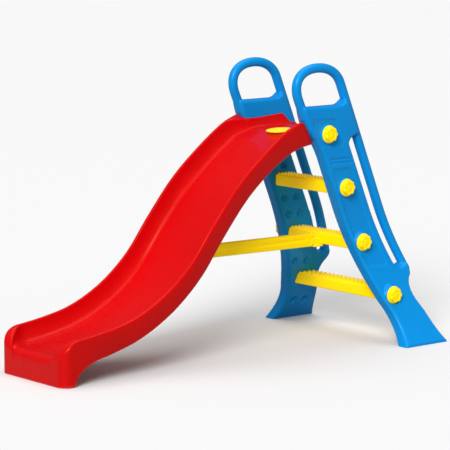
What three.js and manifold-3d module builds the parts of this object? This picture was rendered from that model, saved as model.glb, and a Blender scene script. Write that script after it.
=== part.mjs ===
// Toddler slide: a moulded chute, two hollow side panels, three steps, a clip-on strut and hand knobs.
// Millimetres, +Z up. -X is the slide's exit, +X the ladder side, -Y the left of a child sliding down.
import * as THREE from 'three';
import { mergeVertices } from 'three/addons/utils/BufferGeometryUtils.js';
import Module from 'manifold-3d';

const wasm = await Module();
wasm.setup();

// ---------- driving dimensions ----------
const GAP = 0.6;                       // clearance between pieces that touch
const EXIT_X = -795;                   // front face of the chute's foot
const HANDLE_TOP = 1039.5;

const panel = {
  middle: 178,                         // distance of the panel's middle from the slide's centre
  half: 27.5,                          // half of its thickness
  edge: 11,                            // rounding of its outline
  wall: 4,
  tube: 17.5,                          // radius of the handle and hand rail
  flareStart: 500,                     // below this height the panel leans outward
  flare: 0.0008,                       // outward lean per square millimetre of drop
  railTop: [456, 961],                 // the hand rail is a straight tube from here ...
  railBottom: [741, 268],              // ... down to here
};

const knobPlaces = [
  { name: 'top', x: 376, z: 783, seat: 2 },
  { name: 'upper', x: 463, z: 582, seat: 2 },
  { name: 'middle', x: 534, z: 376, seat: 4 },
  { name: 'lower', x: 621, z: 180, seat: 6 },
];
const knob = { flange: 32, flangeThick: 5, lobe: 26.5, lobes: 7, head: 16, shank: 8.7, reach: 32 };
const seatRadius = 35;
const boltHole = 9.6;
const sliver = 0.02;                    // edges shorter than this are merged away

const steps = [
  { name: 'upper', front: 428, depth: 78, top: 600 },
  { name: 'middle', front: 504, depth: 79, top: 391 },
  { name: 'lower', front: 605, depth: 83, top: 198 },
];
const tread = { height: 43, wall: 3.5, corner: 6, ridge: 5.5, ridges: 19, boss: 15, bossLength: 44 };

const chute = {
  half: 190,                           // half width over the skirts
  platformHalf: 147,                   // half width between the panels
  wall: 3.8,
  rimEdge: 175,                        // where the rim turns down into the channel
  bedEdge: 138,                        // where the bed begins
  cornerRadius: 40,                    // plan rounding of the foot's front corners
  lip: 20,                             // rounding of the exit lip
  footEnd: -740,                       // the foot stands on the floor ahead of this
  platformEnd: 525,
  platformBottom: 745,
};

const strut = { pin: [-112, 368], half: 15, top: 394, bottom: 341, end: 502.8, hole: 5.4, pinRadius: 4.8 };
const cap = { x: 320, z: 783, tilt: 0.07, radius: 50, spigot: 13 };

// ---------- colours ----------
const red = { color: 0xe10a14, roughness: 0.35, metalness: 0 };
const blue = { color: 0x0086d1, roughness: 0.38, metalness: 0 };
const yellow = { color: 0xffe000, roughness: 0.4, metalness: 0 };

// ---------- solids ----------
function toSolid(geometry) {
  const bare = geometry.index ? geometry.toNonIndexed() : geometry.clone();
  bare.deleteAttribute('normal');
  bare.deleteAttribute('uv');
  const merged = mergeVertices(bare, 1e-3);
  const triVerts = new Uint32Array(merged.index.array);
  const vertProperties = new Float32Array(merged.attributes.position.array);
  return new wasm.Manifold(new wasm.Mesh({ numProp: 3, vertProperties, triVerts }));
}

function toGeometry(solid) {
  const mesh = solid.getMesh();
  const geometry = new THREE.BufferGeometry();
  const points = new Float32Array((mesh.vertProperties.length / mesh.numProp) * 3);
  for (let i = 0; i < points.length / 3; i += 1) {
    for (let k = 0; k < 3; k += 1) points[3 * i + k] = mesh.vertProperties[mesh.numProp * i + k];
  }
  geometry.setAttribute('position', new THREE.BufferAttribute(points, 3));
  geometry.setIndex(Array.from(mesh.triVerts));
  return geometry;
}

function join(solids) {
  return solids.reduce((whole, next) => whole.add(next));
}

function cut(solid, tools) {
  return tools.reduce((rest, tool) => rest.subtract(tool), solid);
}

// A solid from points and triangles, turned so that its faces point out.
function closedSolid(points, triangles) {
  let volume = 0;
  const [a, b, c] = [new THREE.Vector3(), new THREE.Vector3(), new THREE.Vector3()];
  for (const [i, j, k] of triangles) {
    volume += a.fromArray(points[i]).dot(b.fromArray(points[j]).cross(c.fromArray(points[k])));
  }
  const facing = volume > 0 ? triangles : triangles.map(([i, j, k]) => [i, k, j]);
  const geometry = new THREE.BufferGeometry();
  geometry.setAttribute('position', new THREE.Float32BufferAttribute(points.flat(), 3));
  geometry.setIndex(facing.flat());
  return toSolid(geometry);
}

// Skins closed sections of equal point counts; flat names the two axes that the end caps are seen in.
function loft(sections, flat) {
  const n = sections[0].length;
  const points = sections.flat();
  const triangles = [];
  for (let s = 0; s < sections.length - 1; s += 1) {
    for (let i = 0; i < n; i += 1) {
      const a = s * n + i;
      const b = s * n + (i + 1) % n;
      triangles.push([a, b, a + n], [b, b + n, a + n]);
    }
  }
  const area = (p) => p.reduce((sum, q, i) => sum + q.cross(p[(i + 1) % p.length]), 0);
  for (const [s, alongRing] of [[0, false], [sections.length - 1, true]]) {
    const ring = sections[s].map((p) => new THREE.Vector2(p[flat[0]], p[flat[1]]));
    for (const corner of THREE.ShapeUtils.triangulateShape(ring, [])) {
      const sameWay = area(corner.map((i) => ring[i])) * area(ring) > 0;
      const [i, j, k] = corner.map((at) => s * n + at);
      triangles.push(sameWay === alongRing ? [i, j, k] : [i, k, j]);
    }
  }
  return closedSolid(points, triangles);
}

// An outline in X and Z given thickness along Y, with rounded edges; inset draws it smaller.
function slab(shape, halfThickness, edge, inset = 0, curveSegments = 8, edgeSteps = 2) {
  const geometry = new THREE.ExtrudeGeometry(shape, {
    depth: 2 * (halfThickness - edge),
    bevelEnabled: edge > 0,
    bevelThickness: edge,
    bevelSize: edge,
    bevelOffset: -edge - inset,
    bevelSegments: edgeSteps,
    curveSegments,
  });
  geometry.rotateX(Math.PI / 2);
  geometry.translate(0, halfThickness - edge, 0);
  return toSolid(geometry);
}

function cylinderY(radius, y0, y1, x, z, sides = 24, radiusEnd = radius) {
  const geometry = new THREE.CylinderGeometry(radiusEnd, radius, Math.abs(y1 - y0), sides);
  if (y1 < y0) geometry.rotateX(Math.PI);
  geometry.translate(x, (y0 + y1) / 2, z);
  return toSolid(geometry);
}

function box(x0, x1, y0, y1, z0, z1) {
  const geometry = new THREE.BoxGeometry(x1 - x0, y1 - y0, z1 - z0);
  geometry.translate((x0 + x1) / 2, (y0 + y1) / 2, (z0 + z1) / 2);
  return toSolid(geometry);
}

// A round bar along a curve in the XZ plane.
function roundBar(curve, radius, sides, lengths) {
  const section = new THREE.Shape().absarc(0, 0, radius, 0, 2 * Math.PI);
  const ring = new THREE.Shape(section.getPoints(sides / 2).slice(0, -1));
  return toSolid(new THREE.ExtrudeGeometry(ring, { steps: lengths, extrudePath: curve, bevelEnabled: false }));
}

function roundedRectangle(x0, x1, z0, z1, r) {
  const shape = new THREE.Shape();
  shape.moveTo(x0 + r, z0);
  shape.lineTo(x1 - r, z0);
  shape.absarc(x1 - r, z0 + r, r, -Math.PI / 2, 0);
  shape.lineTo(x1, z1 - r);
  shape.absarc(x1 - r, z1 - r, r, 0, Math.PI / 2);
  shape.lineTo(x0 + r, z1);
  shape.absarc(x0 + r, z1 - r, r, Math.PI / 2, Math.PI);
  shape.lineTo(x0, z0 + r);
  shape.absarc(x0 + r, z0 + r, r, Math.PI, 1.5 * Math.PI);
  return shape;
}

function curveZ(points) {
  return new THREE.SplineCurve(points.map(([x, z]) => new THREE.Vector2(x, z)));
}

function smoothstep(x, x0, x1) {
  return THREE.MathUtils.smoothstep(x, x0, x1);
}

// ---------- side panels ----------
const flareAt = (z) => panel.flare * Math.max(0, panel.flareStart - z) ** 2;
const innerFace = (z) => panel.middle - panel.half + flareAt(z);
const railSlope = (panel.railBottom[0] - panel.railTop[0]) / (panel.railTop[1] - panel.railBottom[1]);
const railX = (z) => panel.railTop[0] + railSlope * (panel.railTop[1] - z);

// The panel's outline: handle shoulder, slot edge, rear notch, foot, then up the front edge.
function panelShape() {
  const shape = new THREE.Shape();
  shape.moveTo(262, 884);
  shape.lineTo(railX(884), 884);
  shape.lineTo(railX(775), 775);
  shape.bezierCurveTo(506, 768, 490, 766, 482, 742);
  shape.lineTo(669, 298);
  shape.bezierCurveTo(676, 279, 692, 267, 708, 275);
  shape.lineTo(742, 284);
  shape.quadraticCurveTo(758, 262, 738, 238);
  shape.bezierCurveTo(704, 200, 728, 160, 752, 112);
  shape.bezierCurveTo(762, 84, 770, 40, 795, 0);
  shape.lineTo(594, 0);
  shape.bezierCurveTo(610, 50, 610, 100, 582, 150);
  shape.lineTo(542, 250);
  shape.lineTo(364, 688);
  shape.quadraticCurveTo(348, 726, 322, 762);
  shape.quadraticCurveTo(274, 815, 262, 884);
  return shape;
}

// The handle's loop and the hand rail behind the slot, as one bent tube.
function handleCurve() {
  const at = (x, z) => new THREE.Vector3(x, 0, z);
  const path = new THREE.CurvePath();
  const loopTop = HANDLE_TOP - panel.tube;
  path.add(new THREE.LineCurve3(at(286, 842), at(258, 905)));
  path.add(new THREE.CubicBezierCurve3(at(258, 905), at(250, 923), at(246, 935), at(246, 951)));
  path.add(new THREE.CubicBezierCurve3(at(246, 951), at(246, 996), at(286, loopTop), at(347, loopTop)));
  const [topX, topZ] = panel.railTop;
  path.add(new THREE.CubicBezierCurve3(at(347, loopTop), at(395, loopTop), at(439, 1003), at(topX, topZ)));
  path.add(new THREE.LineCurve3(at(topX, topZ), at(...panel.railBottom)));
  return path;
}

// Splits every triangle where it crosses a level, so that the flare bends smoothly.
function splitAtHeights(geometry, heights) {
  const points = geometry.attributes.position.array;
  const list = [];
  for (let i = 0; i < points.length; i += 3) list.push([points[i], points[i + 1], points[i + 2]]);
  let triangles = [];
  const index = geometry.index.array;
  for (let i = 0; i < index.length; i += 3) triangles.push([index[i], index[i + 1], index[i + 2]]);
  for (const height of heights) {
    const made = new Map();
    const side = (i) => Math.sign(Math.round((list[i][2] - height) * 100));
    const crossing = (i, j) => {
      const key = i < j ? `${i}_${j}` : `${j}_${i}`;
      if (!made.has(key)) {
        const [p, q] = i < j ? [list[i], list[j]] : [list[j], list[i]];
        const t = (height - p[2]) / (q[2] - p[2]);
        made.set(key, list.length);
        list.push([p[0] + t * (q[0] - p[0]), p[1] + t * (q[1] - p[1]), height]);
      }
      return made.get(key);
    };
    triangles = triangles.flatMap((t) => splitTriangle(t, side, crossing));
  }
  return { list, triangles };
}

function splitTriangle(triangle, side, crossing) {
  const sides = triangle.map(side);
  if (!(sides.includes(1) && sides.includes(-1))) return [triangle];
  const lone = sides.includes(0) ? sides.indexOf(0) : sides.findIndex((s) => sides.filter((o) => o === s).length === 1);
  const [a, b, c] = [0, 1, 2].map((k) => triangle[(lone + k) % 3]);
  if (side(a) === 0) {
    const m = crossing(b, c);
    return [[a, b, m], [a, m, c]];
  }
  const m = crossing(a, b);
  const n = crossing(a, c);
  return [[a, m, n], [m, b, c], [m, c, n]];
}

function flared(solid) {
  const count = 8;
  const heights = Array.from({ length: count }, (_, i) => panel.flareStart * (1 - (i + 1) / (count + 1)) ** 1.2);
  const { list, triangles } = splitAtHeights(toGeometry(solid), heights);
  const moved = list.map(([x, y, z]) => [x, panel.middle + flareAt(z) + y, z]);
  return closedSolid(moved, triangles);
}

// Shallow pressed areas in the outer face, as outlines with the depth of each.
function pressedAreas() {
  const between = (x, z, width, height, r) => {
    const shape = roundedRectangle(-width / 2, width / 2, -height / 2, height / 2, r);
    return new THREE.Shape(shape.getPoints(2).map((p) => new THREE.Vector2(x + p.x - railSlope * p.y, z + p.y)));
  };
  return [
    between(377, 786, 116, 104, 16),
    between(437, 688, 104, 7, 3),
    between(443, 674, 104, 7, 3),
    between(522, 468, 92, 352, 22),
  ];
}

// Pairs of tapered dimples pressed from the inner face to stiffen the hollow panel.
function dimplePlaces() {
  const pairs = [[443, 630], [502, 505], [527, 442], [578, 312], [603, 247], [674, 77]];
  return pairs.flatMap(([x, z]) => [{ x: x - 29, z }, { x: x + 29, z }]);
}

// One hollow panel, built upright about its own middle plane, then leaned and drilled.
function sidePanel(side) {
  const rail = roundBar(handleCurve(), panel.tube, 8, 32);
  const body = slab(panelShape(), panel.half, panel.edge, 0, 5, 1);
  const hollow = slab(panelShape(), panel.half - panel.wall, panel.edge - panel.wall, panel.wall, 3, 1);
  const sleeves = knobPlaces.map((k) => cylinderY(16, -40, 40, k.x, k.z, 8));
  const dimples = (grow) => dimplePlaces().map((d) => (
    cylinderY(16.5 + grow, -panel.half - 2, -panel.half + 20 + grow, d.x, d.z, 10, 3 + grow)));
  const pressed = pressedAreas().map((shape) => slab(shape, 6, 0).translate([0, panel.half + 4, 0]));
  const drain = toSolid(new THREE.CylinderGeometry(5, 5, 20, 10).rotateX(Math.PI / 2).translate(700, 0, 0));
  const chamber = cut(hollow, [...sleeves, ...dimples(panel.wall)]);
  const leaning = flared(cut(body.add(rail), [chamber, ...dimples(0), ...pressed, drain]));
  const finished = knobPlaces.reduce((rest, k) => {
    const seatY = panel.middle + panel.half + flareAt(k.z) + k.seat;
    const pad = cylinderY(seatRadius, seatY - 22, seatY, k.x, k.z, 20);
    const clear = cylinderY(seatRadius, seatY, seatY + 60, k.x, k.z, 20);
    const hole = cylinderY(boltHole, 60, 460, k.x, k.z, 12);
    return rest.add(pad).subtract(clear).subtract(hole);
  }, leaning).simplify(sliver);
  return side > 0 ? finished : finished.mirror([0, 1, 0]);
}

// ---------- chute ----------
const rimCurve = curveZ([
  [-795, 153], [-690, 165], [-600, 179], [-510, 200], [-420, 238], [-330, 294],
  [-240, 375], [-150, 490], [-40, 618], [70, 714], [190, 800], [272, 835],
]);
const endTilt = Math.PI / 6;

// One station of the chute: where its rim is, how far its section plane leans, and its depths.
function station(at) {
  const rim = rimCurve.getPointAt(at);
  const tangent = rimCurve.getTangentAt(at);
  const slope = Math.atan2(tangent.y, tangent.x);
  const lean = slope * smoothstep(rim.x, -730, -610);
  const tilt = rim.x > 100 ? Math.max(lean, endTilt) : lean;
  const ahead = rim.x - EXIT_X;
  const drop = (r) => (ahead < r ? r - Math.sqrt(Math.max(0, r * r - (r - ahead) ** 2)) : 0);
  const low = rim.x < -60 ? 5.2e-5 * (rim.x + 60) ** 2 : 4.6e-4 * Math.max(0, rim.x - 25) ** 2;
  let skirt = 71 + low;
  if (rim.x < -627) {
    const q = Math.min(1, (-627 - rim.x) / (-627 - chute.footEnd));
    skirt = rim.y - 86 * (1 - q ** 1.6) ** (1 / 1.6);
  }
  const bed = 62 - 5 * smoothstep(-rim.x, 690, 790);
  const half = chute.half - drop(chute.cornerRadius);
  return { rim, tilt, skirt, half, rimDrop: drop(70), bed: bed + drop(chute.lip) };
}

// Half of the channel's section from the skirt's foot to the middle of the bed: [y, depth] pairs.
function halfSection(s, inset) {
  const k = s.half / chute.half;
  const top = s.rimDrop + inset;
  const narrow = smoothstep(s.rim.x, 200, 285);
  const edge = chute.rimEdge + inset - 24 * narrow;
  const edgeTop = top + 17 * narrow;
  const bed = Math.max(s.bed, s.rimDrop + 1) + inset;
  const wall = new THREE.CubicBezierCurve(
    new THREE.Vector2(edge - 4, edgeTop + 6),
    new THREE.Vector2(edge - 9, edgeTop + (bed - edgeTop) * 0.72),
    new THREE.Vector2(chute.bedEdge + inset + 22 - 16 * narrow, bed),
    new THREE.Vector2(chute.bedEdge - 16 * narrow, bed),
  );
  const outer = chute.half - inset;
  const rim = inset === 0
    ? [[outer, top + 14], [outer - 3, top + 4], [outer - 10, top]]
    : [[outer, top + 10], [outer - 2, top + 4], [outer - 5, top + 2]];
  const foot = inset === 0 ? s.skirt : s.skirt + 40;
  const points = [[outer, foot], ...rim, ...wall.getPoints(4).map((p) => [p.x, p.y]), [70, bed + 2], [0, bed + 3]];
  return points.map(([y, d]) => [y * k, Math.min(d, foot - 1)]).map(([y, d], i) => (i === 0 ? [y, foot] : [y, d]));
}

function chuteSections(inset, spots) {
  return spots.map((at) => {
    const s = station(at);
    const half = halfSection(s, inset);
    const both = [...half, ...half.slice(0, -1).reverse().map(([y, d]) => [-y, d])];
    return both.map(([y, d]) => [s.rim.x + Math.sin(s.tilt) * d, y, s.rim.y - Math.cos(s.tilt) * d]);
  });
}

const floorCurve = curveZ([[180, 722], [240, 752], [303, 780.5], [370, 785], [450, 786], [540, 784]]);

// Everything above the platform's floor and between its walls; grow draws it larger.
function platformChannel(grow) {
  const sections = [];
  for (let i = 0; i <= 12; i += 1) {
    const p = floorCurve.getPoint(0.12 + (0.88 * i) / 12);
    const fillet = new THREE.EllipseCurve(100 + grow, p.y - grow + 44, 38, 44, 1.5 * Math.PI, 2 * Math.PI);
    const half = [...fillet.getPoints(4).map((q) => [q.x, q.y]), [138 + grow, 960]];
    const ring = [...half, ...half.slice().reverse().map(([y, z]) => [-y, z])];
    sections.push(ring.map(([y, z]) => [p.x, y, z]));
  }
  return loft(sections, [1, 2]);
}

function platformShape(inset) {
  const bottom = chute.platformBottom - (inset ? 30 : 0);
  const end = chute.platformEnd - inset;
  const shape = new THREE.Shape();
  shape.moveTo(314 + inset, bottom);
  shape.lineTo(end, bottom);
  shape.lineTo(end, 780 - inset);
  shape.quadraticCurveTo(end, 790 - inset, end - 16, 792 - inset);
  shape.bezierCurveTo(488, 796 - inset, 484, 828 - inset, 448, 828 - inset);
  shape.lineTo(330 + inset, 818 - inset);
  shape.lineTo(276 + inset, 818 - inset);
  shape.lineTo(314 + inset, bottom);
  return shape;
}

// Two cheeks under the chute that hold the strut's pin.
function strutLugs() {
  const [px, pz] = strut.pin;
  return [-1, 1].map((side) => {
    const shape = new THREE.Shape();
    shape.moveTo(px - 75, pz - 36);
    shape.lineTo(px, pz - 15);
    shape.absarc(px, pz, 15, -Math.PI / 2, Math.PI / 2);
    shape.lineTo(px - 11, pz + 51);
    return slab(shape, 3.5, 0, 0, 5).translate([0, side * (strut.half + GAP + 3.5), 0]);
  });
}

function slideChute() {
  const front = [0, 0.0015, 0.005, 0.011, 0.02, 0.034, 0.05];
  const rest = Array.from({ length: 20 }, (_, i) => 0.068 + (i * 0.932) / 19);
  const spots = [...front, ...rest];
  const inside = [0.0052, 0.012, 0.022, 0.036, 0.052, ...rest.slice(1, -1), 0.9955];
  const outer = loft(chuteSections(0, spots), [1, 2]);
  const hollow = loft(chuteSections(chute.wall, inside), [1, 2]);
  const wide = outer.subtract(hollow);
  const platform = slab(platformShape(0), chute.platformHalf, 0, 0, 5).subtract(platformChannel(0));
  const platformHollow = slab(platformShape(chute.wall), chute.platformHalf - chute.wall, 0, 0, 5)
    .subtract(platformChannel(chute.wall));
  const bossTop = knobPlaces[0];
  const bosses = [-1, 1].map((side) => (
    cylinderY(14, side * (chute.platformHalf - 34), side * (chute.platformHalf - 1), bossTop.x, bossTop.z, 16)));
  const boltHoles = [-1, 1].map((side) => (
    cylinderY(boltHole, side * (chute.platformHalf - 30), side * (chute.platformHalf + 9), bossTop.x, bossTop.z, 16)));
  const seat = tilted(discZ(cap.radius + 4, -6, -0.2, 28));
  const seatClear = tilted(discZ(cap.radius + 2, -0.2, 30, 28));
  const nutRoom = tilted(discZ(25, -45, -6.2, 16));
  const spigotHole = tilted(discZ(cap.spigot + GAP, -30, 10, 20));
  const [px, pz] = strut.pin;
  const pinHole = cylinderY(strut.pinRadius + 0.5, -60, 60, px, pz, 16);
  const shell = join([wide, platform.subtract(platformHollow), seat, ...bosses, ...strutLugs()]);
  return cut(shell, [seatClear, nutRoom, spigotHole, ...boltHoles, pinHole, skyAbovePlatform()]);
}

// Clears what the bosses leave standing above the platform's floor.
function skyAbovePlatform() {
  return platformChannel(-0.2).intersect(box(330, 560, -140, 140, 700, 1000));
}

function discZ(radius, z0, z1, sides) {
  const geometry = new THREE.CylinderGeometry(radius, radius, z1 - z0, sides);
  geometry.rotateX(Math.PI / 2);
  geometry.translate(0, 0, (z0 + z1) / 2);
  return geometry;
}

// Lays a piece that was drawn about the origin onto the platform's sloping seat.
function tilted(geometry) {
  return toSolid(geometry.clone().rotateY(-cap.tilt).translate(cap.x, 0, cap.z));
}

// ---------- steps ----------
// A hollow step, open below, with grip ribs that cross it at 45 degrees.
function stepBar(place, bolt) {
  const reach = innerFace(place.top - tread.height / 2);
  const bottom = place.top - tread.height;
  const rear = place.front + place.depth;
  const outline = roundedRectangle(place.front, rear, bottom, place.top, tread.corner);
  const block = slab(outline, reach, 0, 0, 3);
  const inset = tread.wall;
  const hollow = box(place.front + inset, rear - inset, -reach + inset, reach - inset, bottom - 5, place.top - inset);
  const bosses = [-1, 1].map((side) => (
    cylinderY(tread.boss, side * (reach - tread.bossLength), side * reach, bolt.x, bolt.z, 12)));
  const webs = [-55, 55].map((y) => box(place.front, rear, y - 2, y + 2, bottom + 8, place.top).intersect(block));
  const pitch = (2 * reach - 10) / tread.ridges;
  const spare = Math.ceil(place.depth / pitch / 2);
  const straight = Array.from({ length: tread.ridges + 2 * spare }, (_, i) => (
    ridge(place.front + 5, rear - 5, (i - spare - (tread.ridges - 1) / 2) * pitch, place.top, pitch / 2)));
  const slant = [1, 1, 0, 0, 0, 1, 0, 0, 0, 0, 1, 0, 0, -(place.front + place.depth / 2), 0, 1];
  const ridges = join(straight).transform(slant)
    .intersect(box(place.front, rear, 2 - reach, reach - 2, place.top - 2, place.top + 20));
  const room = join([block.subtract(hollow), ...webs]);
  const whole = join([room, ...bosses.map((boss) => boss.intersect(block)), ridges]);
  const drilled = cut(whole, [-1, 1].map((side) => (
    cylinderY(boltHole, side * (reach - tread.bossLength + 5), side * (reach + 5), bolt.x, bolt.z, 12))));
  return fittedBetweenPanels(drilled, reach);
}

function ridge(x0, x1, y, z, width) {
  const shape = new THREE.Shape();
  shape.moveTo(x0, z - 1);
  shape.lineTo(x1, z - 1);
  shape.lineTo(x1, z + 1);
  shape.lineTo(x1 - 4, z + tread.ridge);
  shape.lineTo(x0 + 6, z + tread.ridge);
  shape.lineTo(x0, z);
  return slab(shape, width / 2, 0).translate([0, y, 0]);
}

// Stretches a step sideways so that its ends follow the leaning inner faces of the panels.
function fittedBetweenPanels(solid, reach) {
  const geometry = toGeometry(solid);
  const array = geometry.attributes.position.array;
  const points = [];
  for (let i = 0; i < array.length; i += 3) {
    const z = array[i + 2];
    points.push([array[i], (array[i + 1] * (innerFace(z) - GAP)) / reach, z]);
  }
  const triangles = [];
  const index = geometry.index.array;
  for (let i = 0; i < index.length; i += 3) triangles.push([index[i], index[i + 1], index[i + 2]]);
  return closedSolid(points, triangles);
}

// ---------- small pieces ----------
function knobBolt(place, side) {
  const lobes = new THREE.Shape();
  const turns = knob.lobes * 2;
  for (let i = 0; i < turns; i += 1) {
    const a = (2 * Math.PI * i) / turns;
    const r = knob.lobe - 2.2 + 2.2 * Math.cos(knob.lobes * a);
    if (i === 0) lobes.moveTo(r, 0);
    else lobes.lineTo(r * Math.cos(a), r * Math.sin(a));
  }
  const seatY = panel.middle + panel.half + flareAt(place.z) + place.seat + 0.4;
  const head = slab(lobes, knob.head / 2, 4, 0, 4, 1).translate([0, knob.flangeThick + knob.head / 2 - 1, 0]);
  const flange = cylinderY(knob.flange, 0, knob.flangeThick, 0, 0, 20);
  const bottom = (place.name === 'top' ? chute.platformHalf : innerFace(place.z)) - knob.reach + 6 - seatY;
  const shank = cylinderY(knob.shank, bottom, 1, 0, 0, 10);
  const whole = join([head, flange, shank]).translate([place.x, seatY, place.z]);
  return side > 0 ? whole : whole.mirror([0, 1, 0]);
}

function supportStrut() {
  const [px, pz] = strut.pin;
  const step = steps[1];
  const bottom = step.top - tread.height;
  const bar = new THREE.Shape();
  bar.moveTo(px, pz - 20);
  bar.lineTo(strut.end - 40, strut.bottom);
  bar.lineTo(strut.end, strut.bottom);
  bar.lineTo(strut.end, step.top - 2);
  bar.lineTo(px + 60, strut.top);
  bar.lineTo(px + 16, pz + 22);
  bar.absarc(px, pz, 20, Math.PI / 2, 1.5 * Math.PI);
  const tipBack = step.front + tread.wall + 1.2;
  const jaw = new THREE.Shape();
  jaw.moveTo(strut.end - 30, bottom - 9);
  jaw.lineTo(tipBack + 7, bottom - 9);
  jaw.lineTo(tipBack + 7, bottom + 8);
  jaw.lineTo(tipBack + 3, bottom + 12);
  jaw.lineTo(tipBack, bottom + 8);
  jaw.lineTo(tipBack, bottom - 1.2);
  jaw.lineTo(strut.end - 30, bottom - 1.2);
  const groove = roundedRectangle(px + 70, strut.end - 60, pz - 7, pz + 7, 6);
  const grooves = [-1, 1].map((side) => slab(groove, 3, 0, 0, 4).translate([0, side * strut.half, 0]));
  const collar = roundedRectangle(strut.end - 22, strut.end, strut.bottom - 1, step.top - 2, 5);
  const whole = join([
    slab(bar, strut.half, 2.5, 0, 6, 1),
    slab(collar, strut.half + 6, 0, 0, 3),
    slab(jaw, strut.half + 6, 0),
  ]);
  return cut(whole, [...grooves, cylinderY(strut.hole, -40, 40, px, pz, 16)]);
}

function strutPin() {
  const [px, pz] = strut.pin;
  const outside = strut.half + GAP + 7;
  const shaft = cylinderY(strut.pinRadius, -outside - 2, outside + 2, px, pz, 16);
  const heads = [-1, 1].map((side) => cylinderY(9, side * (outside + 0.5), side * (outside + 4), px, pz, 16));
  return join([shaft, ...heads]);
}

function platformCap() {
  const profile = [[0, -16], [cap.spigot, -16], [cap.spigot, 0.2], [cap.radius, 0.2], [cap.radius, 2.2]];
  const dome = Array.from({ length: 5 }, (_, i) => {
    const a = ((i + 1) * Math.PI) / 10;
    return [cap.radius * Math.cos(a), 2.2 + 5 * Math.sin(a)];
  });
  dome[4][0] = 0;
  const points = [...profile, ...dome].map(([r, z]) => new THREE.Vector2(r, z));
  return tilted(new THREE.LatheGeometry([...points, points[0].clone()], 32).rotateX(Math.PI / 2));
}

function capNut() {
  const ring = tilted(discZ(22, -15.5, -7, 6));
  return ring.subtract(tilted(discZ(cap.spigot + 0.5, -40, 10, 20)));
}

// ---------- the assembly ----------
const slide = new THREE.Group();

function addPiece(name, solid, look) {
  const mesh = new THREE.Mesh(toGeometry(solid), new THREE.MeshStandardMaterial(look));
  mesh.name = name;
  slide.add(mesh);
}

addPiece('slide_chute', slideChute(), red);
for (const [name, side] of [['left', -1], ['right', 1]]) {
  addPiece(`side_panel_${name}`, sidePanel(side), blue);
  for (const place of knobPlaces) addPiece(`knob_${name}_${place.name}`, knobBolt(place, side), yellow);
}
steps.forEach((place, i) => addPiece(`step_${place.name}`, stepBar(place, knobPlaces[i + 1]), yellow));
addPiece('support_strut', supportStrut(), yellow);
addPiece('strut_pin', strutPin(), yellow);
addPiece('platform_cap', platformCap(), yellow);
addPiece('cap_nut', capNut(), yellow);

export default slide;
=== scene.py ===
import math

import bmesh
import bpy
import numpy as np
from mathutils import Matrix, Vector


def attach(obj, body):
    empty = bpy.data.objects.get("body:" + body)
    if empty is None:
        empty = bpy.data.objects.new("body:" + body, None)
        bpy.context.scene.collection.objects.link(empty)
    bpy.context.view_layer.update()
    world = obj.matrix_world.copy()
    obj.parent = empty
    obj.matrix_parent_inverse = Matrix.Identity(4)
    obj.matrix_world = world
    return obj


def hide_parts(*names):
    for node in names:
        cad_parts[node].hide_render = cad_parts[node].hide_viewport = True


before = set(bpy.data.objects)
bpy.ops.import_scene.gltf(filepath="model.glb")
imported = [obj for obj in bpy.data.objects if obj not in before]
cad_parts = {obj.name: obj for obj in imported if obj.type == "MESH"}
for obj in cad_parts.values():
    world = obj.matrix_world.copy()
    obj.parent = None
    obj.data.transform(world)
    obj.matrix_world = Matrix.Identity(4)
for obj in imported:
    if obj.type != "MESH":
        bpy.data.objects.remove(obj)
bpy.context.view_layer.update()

MM = 0.001
GAP = 0.6                               # clearance between pieces that touch

# ---------- driving dimensions, in millimetres ----------
PANEL_MIDDLE = 178                      # distance of a panel's middle from the slide's centre
PANEL_HALF = 27.5
PANEL_EDGE = 11
TUBE = 17.5                             # radius of the handle and the hand rail
FLARE_START = 500
FLARE = 0.0008
FOOT_REAR = 794.8                       # the panels' feet end here ...
FOOT_OUTSIDE = 399                      # ... and here
HANDLE_TOP = 1039.3
RAIL_TOP = (456, 961)
RAIL_BOTTOM = (741, 268)
PANEL_VOXEL = 2.6
FOOT_SPARE = 16                         # length that is moulded below the floor line and sawn off
PRESSED = 3.2                            # depth of the pressed areas and grooves

KNOBS = {"top": (376, 783, 2), "upper": (463, 582, 2), "middle": (534, 376, 4), "lower": (621, 180, 6)}
STEPS = {"upper": (428, 78, 600), "middle": (504, 79, 391), "lower": (605, 83, 198)}
TREAD_HEIGHT = 43
RIDGES = 19                              # grip ribs on each step

EXIT_X = -795
CHUTE_HALF = 190
RIM_EDGE = 175
BED_EDGE = 138
CHUTE_WALL = 4.5
FOOT_END = -740                         # the foot stands on the floor ahead of this
TOE = 20                                # rounding of the foot's rear lower corner
EXIT_LIP = 26                           # rounding of the bed's front edge
END_ROUND = 12                          # rounding of the rims' upper ends
RIM_SINK = 20                           # how far the rim's inner edge sinks to meet the platform's wall
WALL_START = 283
PLATFORM_HALF = 147
PLATFORM_END = 525
PLATFORM_BOTTOM = 745
END_TILT = math.pi / 6

PIN = (-112, 368)
CAP = (320, 783, 0.07)


# ---------- curves ----------
def bezier(p, n):
    """Points of a Bezier curve of any order, without its first point."""
    t = np.linspace(0, 1, n + 1)[1:, None]
    order = len(p) - 1
    weights = [math.comb(order, k) * t**k * (1 - t) ** (order - k) for k in range(order + 1)]
    return sum(w * np.array(q, float) for w, q in zip(weights, p))


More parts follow.
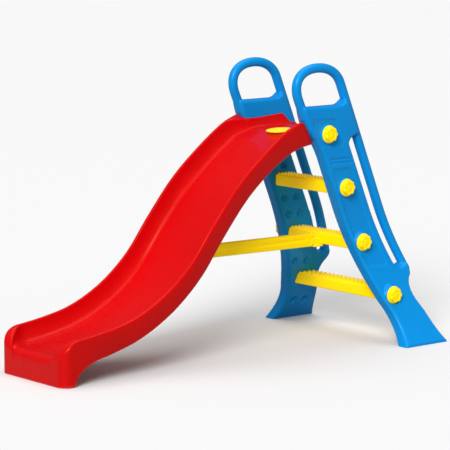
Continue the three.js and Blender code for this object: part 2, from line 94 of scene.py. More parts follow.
class Outline:
    """A closed outline made of straight lines and Bezier curves, sampled finely."""

    def __init__(self, x, z):
        self.points = [np.array((x, z), float)]

    def line(self, x, z, step=6.0):
        start = self.points[-1]
        end = np.array((x, z), float)
        n = max(1, int(np.linalg.norm(end - start) / step))
        self.points += [start + (end - start) * k / n for k in range(1, n + 1)]
        return self

    def curve(self, *ends, n=10):
        self.points += list(bezier([self.points[-1], *ends], n))
        return self

    def arc(self, cx, cz, r, a0, a1, n=10):
        for k in range(n + 1):
            a = a0 + (a1 - a0) * k / n
            self.points.append(np.array((cx + r * math.cos(a), cz + r * math.sin(a))))
        return self

    def ring(self):
        kept = []
        for p in self.points:
            if not kept or np.linalg.norm(p - kept[-1]) > 0.05:
                kept.append(p)
        if np.linalg.norm(kept[0] - kept[-1]) < 0.05:
            kept.pop()
        ring = np.array(kept)
        nxt = np.roll(ring, -1, 0)
        area = (ring[:, 0] * nxt[:, 1] - nxt[:, 0] * ring[:, 1]).sum()
        return ring if area > 0 else ring[::-1]


def rounded_rectangle(x0, x1, z0, z1, r, n=6):
    o = Outline(x0 + r, z0)
    quarter = math.pi / 2
    o.arc(x1 - r, z0 + r, r, -quarter, 0, n)
    o.arc(x1 - r, z1 - r, r, 0, quarter, n)
    o.arc(x0 + r, z1 - r, r, quarter, 2 * quarter, n)
    o.arc(x0 + r, z0 + r, r, 2 * quarter, 3 * quarter, n)
    return o.ring()


def circle(cx, cz, r, n=48):
    a = np.linspace(0, 2 * math.pi, n, endpoint=False)
    return np.stack([cx + r * np.cos(a), cz + r * np.sin(a)], 1)


class Spline:
    """A smooth curve through points, read by distance along it."""

    def __init__(self, points):
        p = np.array(points, float)
        p = np.vstack([2 * p[0] - p[1], p, 2 * p[-1] - p[-2]])
        fine = []
        for k in range(1, len(p) - 2):
            t = np.linspace(0, 1, 40, endpoint=k == len(p) - 3)[:, None]
            a, b, c, d = p[k - 1], p[k], p[k + 1], p[k + 2]
            square = (2 * a - 5 * b + 4 * c - d) * t**2
            cube = (3 * b - a - 3 * c + d) * t**3
            fine.append(0.5 * (2 * b + (c - a) * t + square + cube))
        self.fine = np.vstack(fine)
        steps = np.linalg.norm(np.diff(self.fine, axis=0), axis=1)
        self.length = steps.sum()
        self.s = np.concatenate([[0], np.cumsum(steps)]) / self.length

    def at(self, s):
        return np.array([np.interp(s, self.s, self.fine[:, k]) for k in range(2)])

    def z_at(self, x):
        return np.interp(x, self.fine[:, 0], self.fine[:, 1])

    def slope(self, s, ds=0.004):
        a, b = self.at(max(0, s - ds)), self.at(min(1, s + ds))
        return math.atan2(b[1] - a[1], b[0] - a[0])


def smoothstep(x, x0, x1):
    t = np.clip((x - x0) / (x1 - x0), 0, 1)
    return t * t * (3 - 2 * t)


def flare_at(z):
    return FLARE * np.maximum(0, FLARE_START - z) ** 2


def inner_face(z):
    return PANEL_MIDDLE - PANEL_HALF + flare_at(z)


# ---------- mesh tools ----------
def mesh_object(name, points, faces):
    mesh = bpy.data.meshes.new(name)
    corners = [tuple(np.array(p, float) * MM) for p in points]
    mesh.from_pydata(corners, [], [tuple(map(int, f)) for f in faces])
    mesh.validate()
    obj = bpy.data.objects.new(name, mesh)
    bpy.context.scene.collection.objects.link(obj)
    outward(obj)
    return obj


def outward(obj):
    bm = bmesh.new()
    bm.from_mesh(obj.data)
    bmesh.ops.recalc_face_normals(bm, faces=bm.faces)
    bm.to_mesh(obj.data)
    bm.free()


def inset_ring(ring, distance):
    """The outline moved inward along its corners' normals."""
    ahead = np.roll(ring, -1, 0) - ring
    ahead /= np.linalg.norm(ahead, axis=1)[:, None]
    behind = np.roll(ahead, 1, 0)
    tangent = ahead + behind
    length = np.linalg.norm(tangent, axis=1)[:, None]
    tangent /= np.maximum(length, 1e-6)
    normal = np.stack([-tangent[:, 1], tangent[:, 0]], 1)
    stretch = np.minimum(1.6, 2 / np.maximum(length, 0.5))
    return ring + normal * distance * stretch


def slab(name, ring, y0, y1, edge=0.0, steps=5, both=True):
    """An outline in X and Z given thickness from y0 to y1 with rounded edges."""
    rows = []
    angles = np.linspace(0, math.pi / 2, steps + 1) if edge > 0 else [math.pi / 2]
    for a in angles:
        level = y0 + edge * (1 - math.cos(a)) if edge else y0
        rows.append((inset_ring(ring, edge * (1 - math.sin(a))), level))
    for a in list(angles)[::-1]:
        e = edge if both else 0
        rows.append((inset_ring(ring, e * (1 - math.sin(a))), y1 - e * (1 - math.cos(a)) if e else y1))
    n = len(ring)
    points = [(x, y, z) for r, y in rows for x, z in r]
    faces = []
    for k in range(len(rows) - 1):
        for i in range(n):
            j = (i + 1) % n
            faces.append((k * n + i, k * n + j, (k + 1) * n + j, (k + 1) * n + i))
    faces.append(tuple(range(n)))
    last = (len(rows) - 1) * n
    faces.append(tuple(range(last + n - 1, last - 1, -1)))
    return mesh_object(name, points, faces)


def bar_along(name, path, radius, sides=28):
    """A round bar along a path in the XZ plane."""
    path = np.array(path, float)
    ahead = np.gradient(path, axis=0)
    ahead /= np.linalg.norm(ahead, axis=1)[:, None]
    normal = np.stack([-ahead[:, 1], ahead[:, 0]], 1)
    points = []
    for p, m in zip(path, normal):
        for k in range(sides):
            a = 2 * math.pi * k / sides
            c, s = math.cos(a), math.sin(a)
            points.append((p[0] + m[0] * radius * c, radius * s, p[1] + m[1] * radius * c))
    faces = []
    for k in range(len(path) - 1):
        for i in range(sides):
            j = (i + 1) % sides
            faces.append((k * sides + i, k * sides + j, (k + 1) * sides + j, (k + 1) * sides + i))
    faces.append(tuple(range(sides)))
    last = (len(path) - 1) * sides
    faces.append(tuple(range(last + sides - 1, last - 1, -1)))
    return mesh_object(name, points, faces)


def turned(name, profile, centre, side, sides=64):
    """A profile of (radius, distance along Y) pairs turned about a line along Y through (x, z)."""
    points, rows = [], []
    for r, d in profile:
        if r < 1e-6:
            rows.append([len(points)])
            points.append((centre[0], side * d, centre[1]))
            continue
        rows.append(list(range(len(points), len(points) + sides)))
        for k in range(sides):
            a = 2 * math.pi * k / sides
            points.append((centre[0] + r * math.cos(a), side * d, centre[1] + r * math.sin(a)))
    faces = []
    for a, b in zip(rows, rows[1:]):
        for k in range(sides):
            j = (k + 1) % sides
            corners = [a[k % len(a)], a[j % len(a)], b[j % len(b)], b[k % len(b)]]
            unique = list(dict.fromkeys(corners))
            if len(unique) > 2:
                faces.append(tuple(unique))
    return mesh_object(name, points, faces)


def combined(obj, others, operation):
    """Joins other solids to obj, or cuts them out of it."""
    for other in others:
        m = obj.modifiers.new("cut", "BOOLEAN")
        m.operation = operation
        m.solver = "MANIFOLD"
        m.object = other
        applied(obj)
        bpy.data.objects.remove(other)
    return obj


def applied(obj):
    dg = bpy.context.evaluated_depsgraph_get()
    mesh = bpy.data.meshes.new_from_object(obj.evaluated_get(dg))
    obj.modifiers.clear()
    obj.data = mesh
    return obj


def joined(obj, others):
    """Puts other objects' meshes into obj without cutting them."""
    bm = bmesh.new()
    bm.from_mesh(obj.data)
    for other in others:
        bm.from_mesh(other.data)
        bpy.data.objects.remove(other)
    bm.to_mesh(obj.data)
    bm.free()
    return obj


def melted(obj, voxel, rounds, factor=0.5):
    """One skin around everything in obj, with its edges softened as blow moulding leaves them."""
    m = obj.modifiers.new("skin", "REMESH")
    m.mode = "VOXEL"
    m.voxel_size = voxel * MM
    m = obj.modifiers.new("soften", "SMOOTH")
    m.factor = factor
    m.iterations = rounds
    return applied(obj)


def moved_points(obj, change):
    """Rewrites the vertices with change(points in millimetres)."""
    n = len(obj.data.vertices)
    co = np.zeros(n * 3, np.float32)
    obj.data.vertices.foreach_get("co", co)
    new = change(co.reshape(-1, 3).astype(float) / MM) * MM
    obj.data.vertices.foreach_set("co", new.astype(np.float32).ravel())
    obj.data.update()
    return obj


def finished(obj, material, body, nodes, sharp=40):
    obj.data.shade_smooth()
    obj.data.set_sharp_from_angle(angle=math.radians(sharp))
    obj.data.materials.clear()
    obj.data.materials.append(material)
    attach(obj, body)
    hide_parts(*nodes)
    return obj


# ---------- materials ----------
def moulded_plastic(name, colour, deep, roughness, grain, bump, sheen=(1, 1, 1), painted_fill_glow=0.0):
    """Pigmented moulded plastic: faint flow marks, a fine skin, uneven gloss, paler rubbed edges and an
    optional glow that paints light into shaded faces.
    """
    material = bpy.data.materials.new(name)
    material.use_nodes = True
    tree = material.node_tree
    nodes, links = tree.nodes, tree.links
    shader = nodes["Principled BSDF"]
    shader.inputs["Specular IOR Level"].default_value = 0.3
    shader.inputs["Specular Tint"].default_value = (*sheen, 1)
    # Emission glow is painted light: it brightens the colour where the surface lies in shade
    shader.inputs["Emission Color"].default_value = (*colour, 1)
    shader.inputs["Emission Strength"].default_value = painted_fill_glow
    where = nodes.new("ShaderNodeTexCoord").outputs["Object"]

    def noise(scale, detail=3.0):
        node = nodes.new("ShaderNodeTexNoise")
        node.inputs["Scale"].default_value = scale
        node.inputs["Detail"].default_value = detail
        links.new(where, node.inputs["Vector"])
        return node.outputs["Fac"]

    def spread(value, low, high, to_low, to_high):
        node = nodes.new("ShaderNodeMapRange")
        node.inputs["From Min"].default_value = low
        node.inputs["From Max"].default_value = high
        node.inputs["To Min"].default_value = to_low
        node.inputs["To Max"].default_value = to_high
        links.new(value, node.inputs["Value"])
        return node.outputs["Result"]

    def mixed(factor, a, b):
        node = nodes.new("ShaderNodeMix")
        node.data_type = "RGBA"
        links.new(factor, node.inputs["Factor"])
        for socket, value in ((node.inputs["A"], a), (node.inputs["B"], b)):
            if isinstance(value, tuple):
                socket.default_value = (*value, 1)
            else:
                links.new(value, socket)
        return node.outputs["Result"]

    flow = mixed(spread(noise(7.0), 0.35, 0.65, 0.0, 1.0), colour, deep)
    rubbed = spread(nodes.new("ShaderNodeNewGeometry").outputs["Pointiness"], 0.53, 0.62, 0.0, 0.15)
    pale = tuple(c + (1 - c) * 0.25 for c in colour)
    links.new(mixed(rubbed, flow, pale), shader.inputs["Base Color"])
    gloss = spread(noise(30.0, 5.0), 0.3, 0.7, roughness - 0.05, roughness + 0.06)
    links.new(gloss, shader.inputs["Roughness"])
    skin = nodes.new("ShaderNodeBump")
    skin.inputs["Strength"].default_value = bump
    skin.inputs["Distance"].default_value = 0.0006
    links.new(noise(grain, 2.0), skin.inputs["Height"])
    links.new(skin.outputs["Normal"], shader.inputs["Normal"])
    return material


def linear(*srgb):
    """A colour given as 0 to 255 display values, as linear light."""
    return tuple((v / 255 / 12.92) if v <= 10 else ((v / 255 + 0.055) / 1.055) ** 2.4 for v in srgb)


RED = moulded_plastic(
    "red plastic", linear(207, 3, 10), linear(202, 3, 9), roughness=0.3, grain=300.0, bump=0.0,
    sheen=(1, 0.5, 0.3),
)
BLUE = moulded_plastic(
    "blue plastic", linear(0, 144, 222), linear(0, 140, 218), roughness=0.34, grain=400.0, bump=0.02,
    sheen=(0.5, 0.8, 1),
)
# The yellow glows a little: painted light that keeps its shaded faces bright though it is no lamp
YELLOW = moulded_plastic(
    "yellow plastic", linear(255, 220, 0), linear(254, 215, 0), roughness=0.38, grain=400.0, bump=0.02,
    sheen=(1, 0.9, 0.4), painted_fill_glow=0.24,
)
WHITE = moulded_plastic("nylon", linear(225, 225, 218), linear(215, 214, 205), 0.5, 400.0, 0.02)


# ---------- side panels ----------
RAIL_SLOPE = (RAIL_BOTTOM[0] - RAIL_TOP[0]) / (RAIL_TOP[1] - RAIL_BOTTOM[1])


def rail_x(z):
    return RAIL_TOP[0] + RAIL_SLOPE * (RAIL_TOP[1] - z)


def panel_outline():
    o = Outline(262, 884)
    o.line(430, 884)
    o.curve((452, 884), (468, 902))
    o.line(rail_x(884), 884)
    o.line(rail_x(775), 775)
    o.curve((506, 768), (490, 766), (482, 742))
    o.line(669, 298)
    o.curve((677, 278), (692, 264), (711, 272))
    o.line(742, 284)
    o.curve((758, 262), (738, 238))
    o.curve((704, 200), (728, 160), (752, 112), n=14)
    o.curve((762, 84), (772, 40), (799, 0), n=14)
    o.line(810, -FOOT_SPARE)
    o.line(584, -FOOT_SPARE)
    o.line(592, 0)
    o.curve((610, 50), (610, 100), (582, 150), n=16)
    o.line(542, 250)
    o.line(364, 688)
    o.curve((348, 726), (322, 762))
    o.curve((270, 814), (262, 884), n=14)
    return o.ring()


def handle_path():
    top = HANDLE_TOP - TUBE
    path = Outline(286, 842)
    path.line(258, 905)
    path.curve((250, 923), (246, 935), (246, 951), n=12)
    path.curve((246, 996), (286, top), (347, top), n=24)
    path.curve((395, top), (439, 1003), RAIL_TOP, n=24)
    path.line(*RAIL_BOTTOM)
    return path.points


def leaning_rectangle(x, z, width, height, r):
    ring = rounded_rectangle(-width / 2, width / 2, -height / 2, height / 2, r)
    return np.stack([x + ring[:, 0] - RAIL_SLOPE * ring[:, 1], z + ring[:, 1]], 1)


def dimple_places():
    places = []
    for x, z in ((441, 630), (502, 505), (527, 442), (578, 312), (603, 247), (674, 77)):
        places += [(x - 29, z), (x + 29, z)]
    return places


def cone(name, x, z, y0, y1, r0, r1, sides=32):
    a, b = circle(x, z, r0, sides), circle(x, z, r1, sides)
    points = [(p[0], y0, p[1]) for p in a] + [(p[0], y1, p[1]) for p in b]
    faces = [(i, (i + 1) % sides, sides + (i + 1) % sides, sides + i) for i in range(sides)]
    faces += [tuple(range(sides)), tuple(range(2 * sides - 1, sides - 1, -1))]
    return mesh_object(name, points, faces)


def dimple(x, z):
    """A round pit in the inner face, steep at its rim and pointed at its middle."""
    depths = [(17, 0), (15, 2), (12, 6), (8, 10.5), (4, 13), (0, 14)]
    profile = [(0, -PANEL_HALF - 4), (17, -PANEL_HALF - 4)] + [(r, -PANEL_HALF + d) for r, d in depths]
    return turned("tool", profile, (x, z), 1, 32)


def side_panel():
    """The panel on the +Y side: the outer face looks towards +Y."""
    body = slab("panel", panel_outline(), -PANEL_HALF, PANEL_HALF, PANEL_EDGE, 6)
    joined(body, [bar_along("rail", handle_path(), TUBE)])
    melted(body, PANEL_VOXEL, 0)
    outer = PANEL_HALF
    pressed = [
        leaning_rectangle(377, 786, 116, 104, 16),
        leaning_rectangle(437, 688, 106, 8, 3),
        leaning_rectangle(443, 674, 106, 8, 3),
        leaning_rectangle(519, 468, 96, 372, 18),
    ]
    tools = [slab("tool", ring, outer - PRESSED, outer + 20) for ring in pressed]
    tools += [dimple(x, z) for x, z in dimple_places()]
    combined(body, tools, "DIFFERENCE")
    melted(body, PANEL_VOXEL, 5)

    def lean(p):
        p[:, 1] += PANEL_MIDDLE + flare_at(p[:, 2])
        for x, z, seat in KNOBS.values():
            r = np.hypot(p[:, 0] - x, p[:, 2] - z)
            level = PANEL_MIDDLE + PANEL_HALF + flare_at(z) + seat
            share = 1 - smoothstep(r, 33, 38)
            outside = p[:, 1] > PANEL_MIDDLE + flare_at(p[:, 2]) + PANEL_HALF - 8
            p[:, 1] = np.where(outside, p[:, 1] + share * (level - p[:, 1]), p[:, 1])
        return np.minimum(p, np.array([FOOT_REAR, FOOT_OUTSIDE, HANDLE_TOP]))

    moved_points(body, lean)
    holes = [cone("hole", x, z, 60, 460, 9.6, 9.6, 24) for x, z, _ in KNOBS.values()]
    holes.append(slab("floor cut", rounded_rectangle(500, 900, -60, 0, 1), 200, 600))
    return combined(body, holes, "DIFFERENCE")


def mirrored(obj, name):
    copy = obj.copy()
    copy.data = obj.data.copy()
    copy.name = name
    bpy.context.scene.collection.objects.link(copy)
    moved_points(copy, lambda p: p * np.array([1, -1, 1]))
    copy.data.flip_normals()
    return copy


right = side_panel()
right.name = "right_panel_skin"
left = mirrored(right, "left_panel_skin")
finished(right, BLUE, "frame", ["side_panel_right"], 60)
finished(left, BLUE, "frame", ["side_panel_left"], 60)


# ---------- chute ----------
RIM = Spline([
    (-795, 153), (-690, 165), (-600, 179), (-510, 200), (-420, 238), (-330, 294),
    (-240, 375), (-150, 490), (-40, 618), (70, 714), (190, 800), (272, 835),
])
FLOOR = Spline([(180, 722), (240, 752), (303, 780.5), (370, 785), (450, 786), (540, 784)])


def drop(ahead, r):
    return r - math.sqrt(max(0.0, r * r - (r - ahead) ** 2)) if ahead < r else 0.0


def section_points(half, top, rim_edge, bed_edge, bed, foot, crown=3.0, sink=0.0, lip=5.0, curl=0.0):
    """Half of a section from the skirt's foot to the middle of the bed, as [y, depth] pairs."""
    out = []
    round_rim = min(9.0, (half - rim_edge) * 0.6)
    for d in np.linspace(foot, top + round_rim * 1.3, 13):
        share = (d - top) / (foot - top)
        out.append((half - curl * share**2.2, d))
    for k in range(1, 7):
        a = math.pi / 2 * k / 6
        out.append((half - round_rim * (1 - math.cos(a)), top + round_rim * 1.3 * (1 - math.sin(a))))
    edge_y, edge_d = rim_edge + 0.7 * lip, top + sink
    for k in range(1, 6):
        a = math.pi / 2 * k / 5
        out.append((edge_y - lip * math.sin(a), edge_d + 0.8 * lip * (1 - math.cos(a))))
    wall_y, wall_d = edge_y - lip, edge_d + 0.8 * lip
    drop_to = max(bed, wall_d + 1)
    wall = bezier([
        (wall_y, wall_d), (wall_y - 4.5, wall_d + (drop_to - wall_d) * 0.6),
        (bed_edge + 20, drop_to), (bed_edge, drop_to),
    ], 16)
    out += [tuple(p) for p in wall]
    for t in np.linspace(0, 1, 13)[1:]:
        out.append((bed_edge * (1 - t), drop_to + crown * (1 - (1 - t) ** 2)))
    return np.array(out)


def chute_sections():
    sections = []
    quarter = math.pi / 2
    front = [EXIT_X + 70 * (1 - math.cos(quarter * k / 22)) for k in range(23)]
    fronts = [np.interp(x, RIM.fine[:, 0], RIM.s) for x in front]
    end_share = END_ROUND / RIM.length
    middle = np.linspace(fronts[-1], 1 - end_share, 112)[1:]
    ends = [1 - end_share * (1 - math.sin(quarter * k / 7)) for k in range(1, 8)]
    for s in [*fronts, *middle, *ends]:
        rim = RIM.at(s)
        slope = RIM.slope(s)
        lean = slope * smoothstep(rim[0], -730, -610)
        tilt = max(lean, END_TILT) if rim[0] > 100 else lean
        ahead = rim[0] - EXIT_X
        low = 5.2e-5 * (rim[0] + 60) ** 2 if rim[0] < -60 else 4.6e-4 * max(0, rim[0] - 25) ** 2
        skirt = 71 + low
        if rim[0] < -627:
            q = min(1, (-627 - rim[0]) / 113)
            under = TOE + (86 - TOE) * (1 - q**1.6) ** (1 / 1.6)
            if rim[0] < FOOT_END:
                under = drop(FOOT_END - rim[0], TOE)
            skirt = rim[1] - under
        bed = 62 - 5 * smoothstep(-rim[0], 690, 790) + drop(ahead, EXIT_LIP)
        half = CHUTE_HALF - drop(ahead, 40)
        narrow = smoothstep(rim[0], 200, 285)
        worn = drop((1 - s) * RIM.length, END_ROUND)
        top = drop(ahead, 70) + worn
        spread = 1 - smoothstep(ahead, 0, 90)
        edge = RIM_EDGE - 30 * narrow - 34 * spread
        bed_edge = BED_EDGE - 22 * narrow - 34 * spread
        points = section_points(
            CHUTE_HALF - 0.3 * worn, top, edge, bed_edge, max(bed, top + 1), max(skirt, bed + 4),
            sink=max(0, RIM_SINK * narrow - worn), lip=5 + 22 * spread,
            curl=8 * smoothstep(rim[0], -735, -560),
        )
        points[:, 0] *= half / CHUTE_HALF
        sections.append(placed(points, rim, tilt))
    sections += platform_sections()
    return sections


def placed(points, rim, tilt):
    half = np.stack([
        rim[0] + math.sin(tilt) * points[:, 1], points[:, 0], rim[1] - math.cos(tilt) * points[:, 1],
    ], 1)
    return np.vstack([half, half[:-1][::-1] * np.array([1, -1, 1])])


def wall_top(x):
    if x < 448:
        return np.interp(x, [272, 330, 448], [818, 819, 828])
    return 828 - 36 * smoothstep(x, 448, 500) - 1.0 * smoothstep(x, 500, 525)


def platform_sections():
    """From the skirts' end face to the ladder end of the platform."""
    sections = []
    for p in [0, 0.02, 0.05, *np.linspace(0.09, 1, 30)]:
        crest_x = WALL_START + (PLATFORM_END - WALL_START) * p
        bed_x = 305 + (PLATFORM_END - 305) * p
        ahead = PLATFORM_END - crest_x
        crest = np.array([crest_x, wall_top(crest_x)])
        floor = np.array([bed_x, FLOOR.z_at(bed_x)])
        down = crest[1] - floor[1]
        tilt = math.atan2(floor[0] - crest[0], down)
        depth = math.hypot(down, floor[0] - crest[0])
        foot = (crest[1] - PLATFORM_BOTTOM) / math.cos(tilt)
        settle = smoothstep(p, 0, 0.25)
        points = section_points(
            PLATFORM_HALF, 0, 145 - 7 * settle, 116 - 12 * settle, depth, foot, crown=3 - 3 * settle,
        )
        if ahead < 8:
            points[:, 1] += drop(ahead, 8) * (points[:, 1] < depth + 4)
        sections.append(placed(points, crest, tilt))
    return sections


def chute():
    sections = chute_sections()
    n = len(sections[0])
    points = np.vstack(sections)
    faces = []
    for k in range(len(sections) - 1):
        for i in range(n - 1):
            faces.append((k * n + i, k * n + i + 1, (k + 1) * n + i + 1, (k + 1) * n + i))
    faces.append(tuple(range(n)))
    last = (len(sections) - 1) * n
    faces.append(tuple(range(last, last + n)))
    shell = mesh_object("chute_skin", points, faces)
    bm = bmesh.new()
    bm.from_mesh(shell.data)
    bmesh.ops.remove_doubles(bm, verts=bm.verts, dist=2e-6)
    bmesh.ops.recalc_face_normals(bm, faces=bm.faces)
    top = max(bm.faces, key=lambda f: f.calc_center_median().z)
    if top.normal.z < 0:
        bmesh.ops.reverse_faces(bm, faces=bm.faces)
    front_wall = min(bm.faces, key=lambda f: f.calc_center_median().x)
    bmesh.ops.inset_region(bm, faces=[front_wall], thickness=3 * MM, use_even_offset=True)
    bm.to_mesh(shell.data)
    bm.free()
    m = shell.modifiers.new("wall", "SOLIDIFY")
    m.thickness = CHUTE_WALL * MM
    m.offset = -1
    m.use_even_offset = False
    applied(shell)
    moved_points(shell, lambda p: np.stack([np.maximum(p[:, 0], EXIT_X + 0.2), p[:, 1], p[:, 2]], 1))
    return shell


finished(chute(), RED, "frame", ["slide_chute"], 42)


# ---------- steps ----------
def step_bar(name, front, depth, top):
    bottom = top - TREAD_HEIGHT
    reach = inner_face(top - TREAD_HEIGHT / 2)
    bar = slab("step_bar", rounded_rectangle(front, front + depth, bottom, top, 7), -reach, reach, 6, 4)
    hollow = slab(
        "hollow", rounded_rectangle(front + 4, front + depth - 4, bottom - 20, top - 4, 4),
        4 - reach, reach - 4,
    )
    pitch = (2 * reach - 10) / RIDGES
    spare = math.ceil(depth / pitch / 2)
    ridges = []
    for k in range(-spare, RIDGES + spare):
        y = (k - (RIDGES - 1) / 2) * pitch
        o = Outline(front + 5, top - 2)
        o.line(front + depth - 5, top - 2)
        o.line(front + depth - 5.5, top + 2)
        o.line(front + depth - 8, top + 4)
        o.line(front + 8, top + 4)
        o.line(front + 5.5, top + 2)
        ridges.append(slab("ridge", o.ring(), y - 0.28 * pitch, y + 0.28 * pitch, 1.2, 2))
    ribs = joined(ridges[0], ridges[1:])
    moved_points(ribs, lambda p: np.stack([p[:, 0], p[:, 1] + p[:, 0] - front - depth / 2, p[:, 2]], 1))
    room = slab("room", rounded_rectangle(front, front + depth, top - 4, top + 20, 2), 4 - reach, reach - 4)
    combined(ribs, [room], "INTERSECT")
    combined(bar, [hollow], "DIFFERENCE")
    web_ring = rounded_rectangle(front + 2, front + depth - 2, bottom + 8, top - 2, 2)
    webs = [slab("web", web_ring, y - 2, y + 2) for y in (-55, 55)]
    combined(bar, [*webs, ribs], "UNION")

    def fit(p):
        p[:, 1] *= (inner_face(p[:, 2]) - GAP) / reach
        return p

    moved_points(bar, fit)
    bar.name = name
    return bar


for place, (front, depth, top) in STEPS.items():
    bar = step_bar(f"{place}_tread", front, depth, top)
    x, z, _ = list(KNOBS.values())[list(STEPS).index(place) + 1]
    finished(bar, YELLOW, "frame", [f"step_{place}"], 35)


# ---------- knobs ----------
def lobed(radius, depth, lobes=8, n=160):
    a = np.linspace(0, 2 * math.pi, n, endpoint=False)
    r = radius - depth * (0.5 - 0.5 * np.cos(lobes * a)) ** 1.6
    return np.stack([r * np.cos(a), r * np.sin(a)], 1)


def hand_knob(name, side, x, z, seat, top):
    level = PANEL_MIDDLE + PANEL_HALF + flare_at(z) + seat + 0.4
    head = slab("head", lobed(27.5, 3.6, 7), 3, 20, 4, 6)
    dish = turned("dish", [(0, 17), (14.5, 17.4), (17.5, 21), (0, 21)], (0, 0), 1)
    grip = slab("grip", lobed(13, 2.6, 3, 90), 15, 20.4, 2.5, 4)
    flange_profile = [(0, 0), (31, 0), (32.4, 1), (32.4, 3), (31, 5), (27, 8.5), (24, 12), (0, 12)]
    flange = turned("flange", flange_profile, (0, 0), 1)
    start = (PLATFORM_HALF - 14 if top else inner_face(z) - 26) - level
    shank = turned("shank", [(0, start), (7.2, start), (8.7, start + 2), (8.7, 1), (0, 1)], (0, 0), 1, 32)
    combined(head, [dish], "DIFFERENCE")
    combined(head, [grip, flange, shank], "UNION")
    moved_points(head, lambda p: np.stack([p[:, 0] + x, side * (p[:, 1] + level), p[:, 2] + z], 1))
    if side < 0:
        head.data.flip_normals()
    head.name = name
    return head


for side, word in ((-1, "left"), (1, "right")):
    for place, (x, z, seat) in KNOBS.items():
        node = f"knob_{word}_{place}"
        piece = hand_knob(f"{word}_{place}_handwheel", side, x, z, seat, place == "top")
        finished(piece, YELLOW, node, [node], 35)


# ---------- strut, cap and small pieces ----------
STRUT_HALF, STRUT_TOP, STRUT_BOTTOM, STRUT_END = 15, 394, 341, 502.8


def strut_piece():
    px, pz = PIN
    front, _, top = STEPS["middle"]
    bottom = top - TREAD_HEIGHT
    o = Outline(px, pz - 20)
    o.line(STRUT_END - 40, STRUT_BOTTOM)
    o.line(STRUT_END - 32, STRUT_BOTTOM + 4)
    o.line(STRUT_END - 30, top - 6)
    o.line(STRUT_END - 34, top - 1.5)
    o.line(px + 60, STRUT_TOP)
    o.line(px + 16, pz + 22)
    o.arc(px, pz, 20, math.pi / 2, 1.5 * math.pi, 16)
    bar = slab("strut_bar", o.ring(), -STRUT_HALF, STRUT_HALF, 3.5, 4)
    notch = rounded_rectangle(STRUT_END - 36, STRUT_END - 24, STRUT_BOTTOM - 10, STRUT_BOTTOM + 9, 5)
    collar_ring = rounded_rectangle(STRUT_END - 40, STRUT_END, STRUT_BOTTOM - 1, STRUT_BOTTOM + 30, 10)
    collar = slab("collar", collar_ring, -STRUT_HALF - 1, STRUT_HALF + 1, 3.5, 3)
    back = front + 4 + 1.2
    j = Outline(STRUT_END - 30, bottom - 9)
    j.line(back + 7, bottom - 9)
    j.line(back + 7, bottom + 8)
    j.line(back + 3, bottom + 12)
    j.line(back, bottom + 8)
    j.line(back, bottom - 1.2)
    j.line(STRUT_END - 30, bottom - 1.2)
    jaw = slab("jaw", j.ring(), -STRUT_HALF - 6, STRUT_HALF + 6, 1.2, 3)
    groove = rounded_rectangle(px + 70, STRUT_END - 60, pz - 7, pz + 7, 6)
    tools = [slab("groove", groove, s * STRUT_HALF - 3, s * STRUT_HALF + 3, 0.8, 2) for s in (-1, 1)]
    tools.append(cone("hole", px, pz, -40, 40, 5.4, 5.4))
    tools.append(slab("notch", notch, -40, 40))
    combined(bar, [collar, jaw], "UNION")
    combined(bar, tools, "DIFFERENCE")
    bar.name = "strut_moulding"
    return bar


finished(strut_piece(), YELLOW, "strut", ["support_strut"], 35)


def platform_disc():
    x, z, tilt = CAP
    profile = [(0, -16), (12, -16), (13, -15), (13, 0.2), (49, 0.2), (50, 1.2), (49.6, 2.6)]
    profile += [(49 * math.cos(a), 2.8 + 4.4 * math.sin(a)) for a in np.linspace(0.15, math.pi / 2, 10)]
    profile[-1] = (0, profile[-1][1])
    disc = turned("platform_disc", profile, (0, 0), 1, 96)
    c, s = math.cos(-tilt), math.sin(-tilt)

    def lay(p):
        up = p[:, 1].copy()
        flat_x, flat_y = p[:, 0].copy(), p[:, 2].copy()
        return np.stack([x + c * flat_x + s * up, flat_y, z - s * flat_x + c * up], 1)

    moved_points(disc, lay)
    outward(disc)
    return disc


finished(platform_disc(), YELLOW, "frame", ["platform_cap"], 35)

for node, material in (("strut_pin", YELLOW), ("cap_nut", WHITE)):
    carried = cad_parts[node]
    carried.data.materials.clear()
    carried.data.materials.append(material)


# ---------- floor, light and camera ----------
def stage_piece(name, points, faces, colour, bounced, roughness):
    """A plain surface that gives other things less bounced light than the camera sees on it."""
    floor = mesh_object(name, points, faces)
    material = bpy.data.materials.new(name)
    material.use_nodes = True
    tree = material.node_tree
    mix = tree.nodes.new("ShaderNodeMix")
    mix.data_type = "RGBA"
    mix.inputs["A"].default_value = (*bounced, 1)
    mix.inputs["B"].default_value = (*colour, 1)
    tree.links.new(tree.nodes.new("ShaderNodeLightPath").outputs["Is Camera Ray"], mix.inputs["Factor"])
    shader = tree.nodes["Principled BSDF"]
    tree.links.new(mix.outputs["Result"], shader.inputs["Base Color"])
    shader.inputs["Roughness"].default_value = roughness
    shader.inputs["Specular IOR Level"].default_value = 0.1
    floor.data.materials.append(material)
    return floor


FAR = 30000
floor_corners = [(-FAR, -FAR, -0.5), (FAR, -FAR, -0.5), (FAR, FAR, -0.5), (-FAR, FAR, -0.5)]
stage_piece("floor", floor_corners, [(0, 1, 2, 3)],
            (0.82, 0.82, 0.82), (0.36, 0.36, 0.36), 0.8)


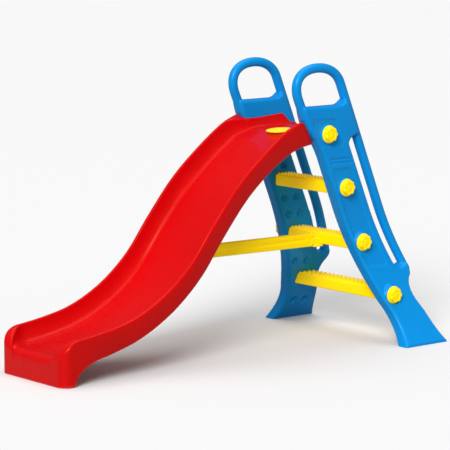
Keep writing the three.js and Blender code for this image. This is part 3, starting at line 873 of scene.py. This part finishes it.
def studio_world(backdrop, light, mirrored_light):
    """A white backdrop that gives little light of its own and is dim in reflections."""
    world = bpy.data.worlds.new("studio")
    world.use_nodes = True
    tree = world.node_tree
    background = tree.nodes["Background"]
    background.inputs["Color"].default_value = (1, 1, 1, 1)
    ray = tree.nodes.new("ShaderNodeLightPath")
    value = None
    for kind, strength in (("Is Glossy Ray", mirrored_light), ("Is Camera Ray", backdrop)):
        mix = tree.nodes.new("ShaderNodeMix")
        tree.links.new(ray.outputs[kind], mix.inputs["Factor"])
        mix.inputs["A"].default_value = light
        mix.inputs["B"].default_value = strength
        if value is not None:
            tree.links.new(value, mix.inputs["A"])
        value = mix.outputs["Result"]
    tree.links.new(value, background.inputs["Strength"])
    bpy.context.scene.world = world


studio_world(1.0, 0.36, 0.12)
bpy.context.scene.view_settings.view_transform = "Standard"


def aimed(name, light, place, target):
    obj = bpy.data.objects.new(name, light)
    obj.location = place
    obj.rotation_mode = "QUATERNION"
    obj.rotation_quaternion = (Vector(target) - Vector(place)).to_track_quat("-Z", "Y")
    bpy.context.scene.collection.objects.link(obj)
    return obj


def sun_light(name, direction, strength, softness):
    light = bpy.data.lights.new(name, "SUN")
    light.energy = strength
    light.angle = math.radians(softness)
    return aimed(name, light, Vector(direction) * 5, (0, 0, 0))


sun_light("key", (-0.69, -0.49, 0.53), 2.75, 26)
sun_light("overhead", (0.05, 0.10, 1.0), 1.15, 60)

CAMERA_AZIMUTH, CAMERA_ELEVATION = math.radians(-39.4), math.radians(8.36)
CAMERA_DISTANCE = 9.02
CAMERA_TARGET = Vector((0.062, 0, 0.458))
camera = bpy.data.objects.new("camera", bpy.data.cameras.new("camera"))
camera.data.lens = 200
camera.data.sensor_width = 36
back = Vector((
    math.sin(CAMERA_AZIMUTH) * math.cos(CAMERA_ELEVATION),
    -math.cos(CAMERA_AZIMUTH) * math.cos(CAMERA_ELEVATION),
    math.sin(CAMERA_ELEVATION),
))
camera.location = CAMERA_TARGET + back * CAMERA_DISTANCE
camera.rotation_mode = "QUATERNION"
camera.rotation_quaternion = (-back).to_track_quat("-Z", "Y")
camera.data.clip_end = 100
bpy.context.scene.collection.objects.link(camera)
bpy.context.scene.camera = camera
